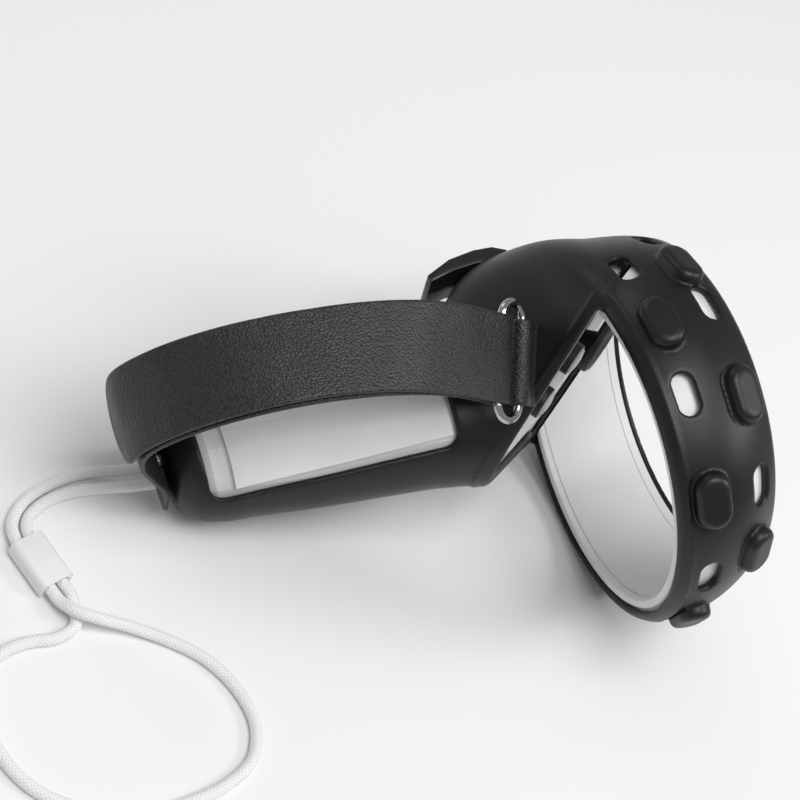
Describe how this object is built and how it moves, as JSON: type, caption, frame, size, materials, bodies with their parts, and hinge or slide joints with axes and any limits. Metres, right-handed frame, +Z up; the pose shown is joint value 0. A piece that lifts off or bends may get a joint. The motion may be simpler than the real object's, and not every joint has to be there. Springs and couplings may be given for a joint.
{
  "type": "vr motion controller",
  "caption": "Left-hand motion controller with a tracking ring in a black silicone cover, thumbstick, buttons, trigger, grip button, knuckle strap with metal ring, and wrist lanyard.",
  "frame": {"origin": "under the middle of the controller's box, without the lanyard, on the surface that it lies on", "axes": "+Z up, with the controller lying on its inner side; +Y level, from the back-of-hand side towards the ring's far mouth; +X = +Y x +Z, so the handle's butt points to -X and -Y"},
  "size_m": [0.1542, 0.1947, 0.0954],
  "materials": {
    "silicone": "matte moulded silicone with fine dust",
    "white_plastic": "satin moulded",
    "ring_plastic": "satin moulded, passes infrared",
    "led_strip": "flexible circuit with small emitters",
    "black_plastic": "fine-grained moulded",
    "pad_rubber": "soft keypad",
    "board": "solder mask",
    "steel": "drawn and stamped",
    "motor_case": "bead blasted",
    "cell_wrap": "plain printed wrap",
    "strap_leather": "pebbled synthetic leather",
    "hook_tape": "woven with hooks",
    "loop_tape": "brushed loops",
    "ring_metal": "polished dark chrome",
    "cord": "braided white cord",
    "slider_plastic": "satin moulded"
  },
  "bodies": {
    "housing": {"silicone_cover": "silicone", "ring_inner_shell": "white_plastic", "ring_outer_shell": "ring_plastic", "led_strip": "led_strip", "face_surround": "white_plastic", "face_plate": "white_plastic", "handle_shell_left": "white_plastic", "handle_shell_right": "white_plastic", "stick_housing": "black_plastic", "button_pad": "pad_rubber", "main_board": "board", "trigger_pin": "steel", "trigger_spring": "steel", "trigger_bracket": "black_plastic", "grip_pin": "steel", "grip_spring": "steel", "grip_bracket": "black_plastic", "battery_cell": "cell_wrap", "battery_tray": "black_plastic", "battery_spring": "steel", "contact_negative": "steel", "contact_positive": "steel", "haptic_motor": "motor_case", "shell_screw_1": "steel", "shell_screw_2": "steel", "strap": "strap_leather", "hook_patch": "hook_tape", "loop_patch": "loop_tape", "strap_ring": "ring_metal", "anchor_loop": "strap_leather", "strap_rivet": "steel", "lanyard_pin": "steel", "lanyard_cord": "cord"},
    "yoke": {"gimbal_yoke": "steel"},
    "socket": {"stick_socket": "black_plastic"},
    "stick": {"thumbstick": "black_plastic"},
    "upper_button": {"button_upper": "black_plastic"},
    "lower_button": {"button_lower": "black_plastic"},
    "menu": {"menu_button": "black_plastic"},
    "trigger_lever": {"trigger": "black_plastic"},
    "grip_lever": {"grip_button": "black_plastic"},
    "door": {"battery_door": "white_plastic"},
    "slider": {"cord_slider": "slider_plastic"}
  },
  "joints": [
    {"name": "trigger_pull", "type": "hinge", "parent": "housing", "child": "trigger_lever", "pos_m": [-0.01278, 0.03956, 0.04493], "axis": [-0.1348, -0.3036, 0.9432], "range_deg": [0, 14], "stiffness_Nm_per_rad": 0.08, "springref_deg": -6.88},
    {"name": "grip_squeeze", "type": "hinge", "parent": "housing", "child": "grip_lever", "pos_m": [-0.01878, 0.00552, 0.02764], "axis": [-0.561, 0.1029, 0.8214], "range_deg": [0, 7], "stiffness_Nm_per_rad": 0.15, "springref_deg": -3.44},
    {"name": "stick_tilt_x", "type": "hinge", "parent": "housing", "child": "yoke", "pos_m": [0.00105, 0.04557, 0.04301], "axis": [0.1348, 0.3036, -0.9432], "range_deg": [-14, 14], "stiffness_Nm_per_rad": 0.012},
    {"name": "stick_tilt_y", "type": "hinge", "parent": "yoke", "child": "socket", "pos_m": [0.00105, 0.04557, 0.04301], "axis": [0.0338, 0.95, 0.3106], "range_deg": [-14, 14], "stiffness_Nm_per_rad": 0.012},
    {"name": "stick_click", "type": "slide", "parent": "socket", "child": "stick", "axis": [-0.9903, 0.0737, -0.1178], "range_m": [0, 0.0006], "stiffness_N_per_m": 1500, "springref_m": -0.0005},
    {"name": "upper_button_press", "type": "slide", "parent": "housing", "child": "upper_button", "axis": [-0.9903, 0.0737, -0.1178], "range_m": [0, 0.001], "stiffness_N_per_m": 400, "springref_m": -0.0005},
    {"name": "lower_button_press", "type": "slide", "parent": "housing", "child": "lower_button", "axis": [-0.9903, 0.0737, -0.1178], "range_m": [0, 0.001], "stiffness_N_per_m": 400, "springref_m": -0.0005},
    {"name": "menu_press", "type": "slide", "parent": "housing", "child": "menu", "axis": [-0.9903, 0.0737, -0.1178], "range_m": [0, 0.0006], "stiffness_N_per_m": 500, "springref_m": -0.0005},
    {"name": "battery_door_slide", "type": "slide", "parent": "housing", "child": "door", "axis": [-0.6846, -0.6597, -0.3101], "range_m": [0, 0.005]},
    {"name": "cord_slider_slide", "type": "slide", "parent": "housing", "child": "slider", "axis": [0.9344, -0.3562, 0], "range_m": [0, 0.003]}
  ]
}
